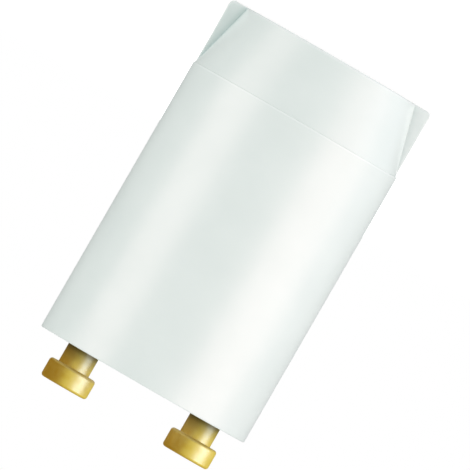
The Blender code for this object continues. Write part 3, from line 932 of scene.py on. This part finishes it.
def make_wire(name, node, side, sizes, material):
    """A wire: up out of the bulb or the capacitor, across, and up into its pin's barrel."""
    start, end, radius = wire_ends(node, side, sizes.wire_diameter)
    points = rounded([
        (start, 0),
        (Vector((start.x, start.y, BULB_HIGH.z + sizes.wire_lift)), sizes.wire_bend),
        (Vector((end.x, end.y, PIN_LOW.z - sizes.wire_lift)), sizes.wire_bend),
        (end, 0),
    ])
    curve = bpy.data.curves.new(name, "CURVE")
    curve.dimensions = "3D"
    curve.bevel_depth = radius
    curve.bevel_resolution = WIRE_BEVEL_STEPS
    curve.use_fill_caps = True
    spline = curve.splines.new("POLY")
    spline.points.add(len(points) - 1)
    for spline_point, point in zip(spline.points, points):
        spline_point.co = (*point, 1)
    draft = new_piece(f"{name}_line", curve, material)
    graph = bpy.context.evaluated_depsgraph_get()
    wire = new_piece(name, bpy.data.meshes.new_from_object(draft.evaluated_get(graph)))
    bpy.data.objects.remove(draft)
    return put_in_place(finished(wire), node)


# Stage

def make_camera(stage):
    """A long lens that looks level along +Y, rolled as the photograph is."""
    data = bpy.data.cameras.new("studio_camera")
    data.lens = stage.lens
    distance = stage.frame_width * data.lens / data.sensor_width
    camera = new_piece("studio_camera", data)
    camera.matrix_world = (
        Matrix.Translation((stage.aim_x, -distance, stage.aim_z))
        @ Matrix.Rotation(math.radians(90), 4, "X")
        @ Matrix.Rotation(stage.camera_roll, 4, "Z")
    )
    bpy.context.scene.camera = camera


def direction(azimuth, elevation=0.0):
    """The way from the starter to this place. Azimuth 0 is the camera's side, and it turns toward -X."""
    flat = math.cos(elevation)
    return Vector((-math.sin(azimuth) * flat, -math.cos(azimuth) * flat, math.sin(elevation)))


def make_lamp(name, kind, azimuth, elevation, colour, lights):
    """A lamp aimed at the starter. It lights the pins alone, or everything but the pins."""
    data = bpy.data.lights.new(name, kind)
    data.color = colour
    lamp = new_piece(name, data)
    away = direction(math.radians(azimuth), math.radians(elevation))
    lamp.location = Vector((0, 0, CAN_LENGTH / 2)) + away * LAMP_DISTANCE
    lamp.rotation_euler = away.to_track_quat("Z", "Y").to_euler()
    lamp.visible_camera = False
    pins = bpy.data.collections.new(f"{name}_pins")
    lamp.light_linking.receiver_collection = pins
    for side in SIDES:
        pins.objects.link(bpy.data.objects[f"brass_pin_{side}"])
    for pin in pins.collection_objects:
        pin.light_linking.link_state = lights
    return data


def make_softbox(name, box, brightness, colour):
    """A softbox whose light doesn't fade as it grows."""
    data = make_lamp(name, "AREA", box.azimuth, box.elevation, colour, box.lights)
    data.shape = "RECTANGLE"
    data.size = box.width
    data.size_y = box.height
    data.energy = brightness * LAMP_WATTS * box.width * box.height
    if box.lights == PINS_ALONE:
        # So that one pin doesn't hide this lamp from the other
        data.use_shadow = False
        data.cycles.use_multiple_importance_sampling = False


def make_sun(name, azimuth, strength, colour):
    """A very wide lamp for the pins alone."""
    data = make_lamp(name, "SUN", azimuth, 0, colour, PINS_ALONE)
    data.angle = math.radians(SUN_SPREAD)
    data.energy = strength


def seen_directly(tree):
    """1 for the camera's rays and those through glass, and 1 for reflected rays."""
    rays = add_node(tree, "ShaderNodeLightPath").outputs
    seen = worked_out(tree, "MAXIMUM", rays["Is Camera Ray"], rays["Is Transmission Ray"])
    return seen, rays["Is Glossy Ray"]


def make_world(stage):
    """White to the camera and through glass. Reflections show it dimmed, least so on the key's side."""
    world = bpy.data.worlds.new("studio")
    world.use_nodes = True
    bpy.context.scene.world = world
    tree = world.node_tree
    seen, reflected = seen_directly(tree)
    ray_way = add_node(tree, "ShaderNodeTexCoord").outputs["Generated"]
    toward_key = add_node(tree, "ShaderNodeVectorMath", {
        0: ray_way, 1: direction(stage.surround_turn),
    }, operation="DOT_PRODUCT").outputs["Value"]
    nearness = add_node(tree, "ShaderNodeMapRange", {
        "Value": toward_key, "From Min": -1.0,
    }).outputs["Result"]
    focused = worked_out(tree, "POWER", nearness, stage.surround_focus)
    surround = picked(tree, focused, stage.surround_dark, stage.surround_bright)
    unseen = picked(tree, reflected, stage.fill, surround)
    untinted = worked_out(tree, "MAXIMUM", seen, reflected)
    background = tree.nodes["Background"]
    tree.links.new(mixed(tree, untinted, stage.fill_colour, WHITE), background.inputs["Color"])
    tree.links.new(picked(tree, seen, unseen, 1.0), background.inputs["Strength"])


def make_floor(stage):
    """A pale floor that keeps the starter's shadow and runs out to white away from it."""
    half = stage.floor_size / 2
    shape = bmesh.new()
    bmesh.ops.create_grid(shape, x_segments=1, y_segments=1, size=half)
    floor = new_piece("studio_floor", mesh_of("studio_floor", shape))
    floor.location.z = -FLOOR_DEPTH
    material = bpy.data.materials.new("studio_floor")
    material.use_nodes = True
    tree = material.node_tree
    tree.nodes.remove(tree.nodes["Principled BSDF"])
    matte = add_node(tree, "ShaderNodeBsdfDiffuse", {"Color": (*stage.floor, 1)})
    place = add_node(tree, "ShaderNodeTexCoord").outputs["Object"]
    distance = add_node(tree, "ShaderNodeVectorMath", {0: place}, operation="LENGTH").outputs["Value"]
    glow = add_node(tree, "ShaderNodeMapRange", {
        "Value": distance, "From Min": FLOOR_GLOW_START, "From Max": FLOOR_GLOW_END,
        "To Min": stage.floor_glow, "To Max": 1.0,
    }).outputs["Result"]
    seen, _ = seen_directly(tree)
    white = add_node(tree, "ShaderNodeEmission", {"Strength": worked_out(tree, "MULTIPLY", seen, glow)})
    both = add_node(tree, "ShaderNodeAddShader", {0: matte.outputs[0], 1: white.outputs[0]})
    tree.links.new(both.outputs[0], tree.nodes["Material Output"].inputs["Surface"])
    floor.data.materials.append(material)
    floor.visible_diffuse = False
    floor.visible_glossy = False
    floor.visible_shadow = False


# Operators

class STARTER_OT_can(bpy.types.Operator):
    """Make the white can with its finned grip"""

    bl_idname = "starter.make_can"
    bl_label = "Can"

    def execute(self, context):
        scene = context.scene
        make_can(scene.starter_can, can_plastic(scene.starter_finish, scene.starter_can.grip_height))
        return {"FINISHED"}


class STARTER_OT_disc(bpy.types.Operator):
    """Make the insulating disc that carries the pins"""

    bl_idname = "starter.make_disc"
    bl_label = "Base disc"

    def execute(self, context):
        scene = context.scene
        make_disc(scene.starter_can, scene.starter_pin.shank_diameter, disc_board(scene.starter_finish))
        return {"FINISHED"}


class STARTER_OT_pins(bpy.types.Operator):
    """Make the two brass contact pins"""

    bl_idname = "starter.make_pins"
    bl_label = "Contact pins"

    def execute(self, context):
        scene = context.scene
        brass = pin_brass(scene.starter_finish)
        for side in SIDES:
            make_pin(side, scene.starter_pin, scene.starter_can.fit_gap, brass)
        return {"FINISHED"}


class STARTER_OT_bulb(bpy.types.Operator):
    """Make the glow bulb with its strip and its electrode"""

    bl_idname = "starter.make_bulb"
    bl_label = "Glow bulb"

    def execute(self, context):
        sizes = context.scene.starter_inner
        colours = context.scene.starter_finish
        make_bulb(sizes, bulb_glass(colours))
        make_strip(sizes, drawn_metal(
            "bimetal", colours.bimetal, colours.bimetal_heat,
            patch=1.5 * MM, line=0.05 * MM, low=0.32, high=0.45,
        ))
        make_electrode(sizes, drawn_metal(
            "nickel", colours.nickel, colours.nickel_dull,
            patch=0.8 * MM, line=0.04 * MM, low=0.24, high=0.34,
        ))
        return {"FINISHED"}


class STARTER_OT_capacitor(bpy.types.Operator):
    """Make the dipped capacitor"""

    bl_idname = "starter.make_capacitor"
    bl_label = "Capacitor"

    def execute(self, context):
        scene = context.scene
        make_capacitor(scene.starter_inner, dipped_resin(scene.starter_finish))
        return {"FINISHED"}


class STARTER_OT_wires(bpy.types.Operator):
    """Make the four tinned wires"""

    bl_idname = "starter.make_wires"
    bl_label = "Wires"

    def execute(self, context):
        sizes = context.scene.starter_inner
        colours = context.scene.starter_finish
        tin = drawn_metal(
            "tinned_wire", colours.tin, colours.tin_dull,
            patch=0.7 * MM, line=0.03 * MM, low=0.28, high=0.4,
        )
        for part in ("bulb", "capacitor"):
            for side in SIDES:
                make_wire(f"{part}_wire_{side}", f"{part}_lead_{side}", side, sizes, tin)
        return {"FINISHED"}


class STARTER_OT_stage(bpy.types.Operator):
    """Make the camera, the lamps and the floor"""

    bl_idname = "starter.make_stage"
    bl_label = "Stage"

    def execute(self, context):
        stage = context.scene.starter_stage
        context.scene.view_settings.view_transform = "Standard"
        make_camera(stage)
        make_world(stage)
        make_floor(stage)
        for name, box in SOFTBOXES.items():
            make_softbox(name, box, getattr(stage, name), getattr(stage, f"{name}_colour"))
        for name, azimuth in SUN_AZIMUTHS.items():
            make_sun(name, azimuth, getattr(stage, name), getattr(stage, f"{name}_colour"))
        return {"FINISHED"}


class STARTER_PT_looks(bpy.types.Panel):
    """Lists the steps that build the starter's looks"""

    bl_idname = "STARTER_PT_looks"
    bl_label = "Starter"
    bl_space_type = "VIEW_3D"
    bl_region_type = "UI"
    bl_category = "Starter"

    def draw(self, context):
        for operator in OPERATORS:
            self.layout.operator(operator.bl_idname)
        for name in SETTINGS:
            settings = getattr(context.scene, name)
            box = self.layout.box()
            for value in settings.__annotations__:
                box.prop(settings, value)


SETTINGS = {
    "starter_can": CanSettings,
    "starter_pin": PinSettings,
    "starter_inner": InnerSettings,
    "starter_finish": FinishSettings,
    "starter_stage": StageSettings,
}
OPERATORS = (
    STARTER_OT_can,
    STARTER_OT_disc,
    STARTER_OT_pins,
    STARTER_OT_bulb,
    STARTER_OT_capacitor,
    STARTER_OT_wires,
    STARTER_OT_stage,
)


def register():
    for cls in (*SETTINGS.values(), *OPERATORS, STARTER_PT_looks):
        bpy.utils.register_class(cls)
    for name, group in SETTINGS.items():
        setattr(bpy.types.Scene, name, bpy.props.PointerProperty(type=group))


def unregister():
    for name in SETTINGS:
        delattr(bpy.types.Scene, name)
    for cls in (STARTER_PT_looks, *reversed(OPERATORS), *reversed(SETTINGS.values())):
        bpy.utils.unregister_class(cls)


def main():
    """Builds the looks in order."""
    register()
    bpy.ops.starter.make_can()
    bpy.ops.starter.make_disc()
    bpy.ops.starter.make_pins()
    bpy.ops.starter.make_bulb()
    bpy.ops.starter.make_capacitor()
    bpy.ops.starter.make_wires()
    bpy.ops.starter.make_stage()


if __name__ == "__main__":
    main()
